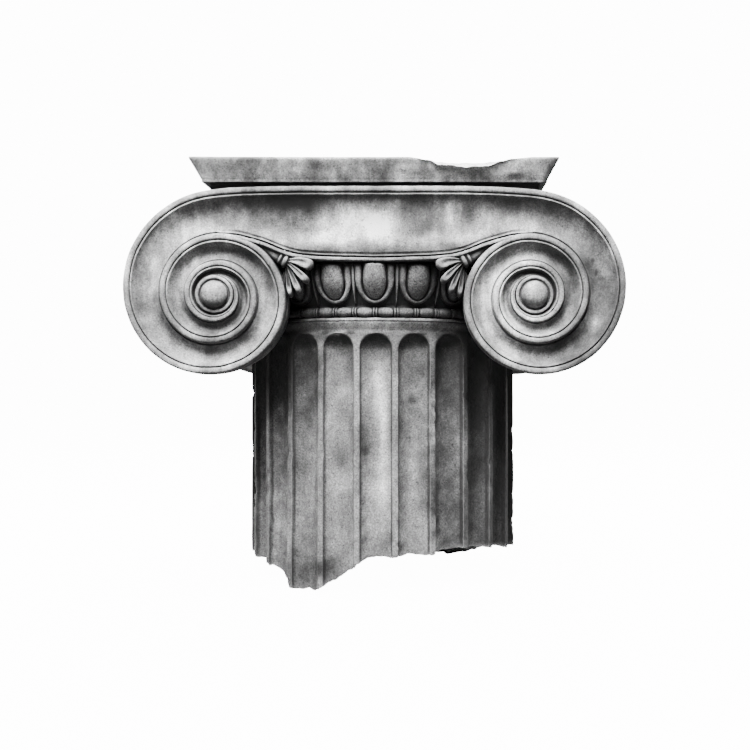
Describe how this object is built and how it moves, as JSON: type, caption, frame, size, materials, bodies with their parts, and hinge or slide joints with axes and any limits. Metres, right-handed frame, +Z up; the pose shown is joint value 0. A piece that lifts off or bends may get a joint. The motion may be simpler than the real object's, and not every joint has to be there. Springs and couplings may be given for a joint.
{
  "type": "ionic capital",
  "caption": "Ionic column capital with volutes, egg-and-dart and bead-and-reel, resting on the broken top of a fluted shaft.",
  "frame": {"origin": "on the column's axis, at the level the broken end stands on", "axes": "+X from the left volute to the right one, -Y out of the carved front, +Z up the column"},
  "size_m": [0.9914, 0.734, 0.874],
  "materials": {
    "stone": "weathered grey limestone, finely pitted and stained, paler where it is freshly broken"
  },
  "bodies": {
    "root": {"shaft": "stone", "capital": "stone"}
  },
  "joints": []
}
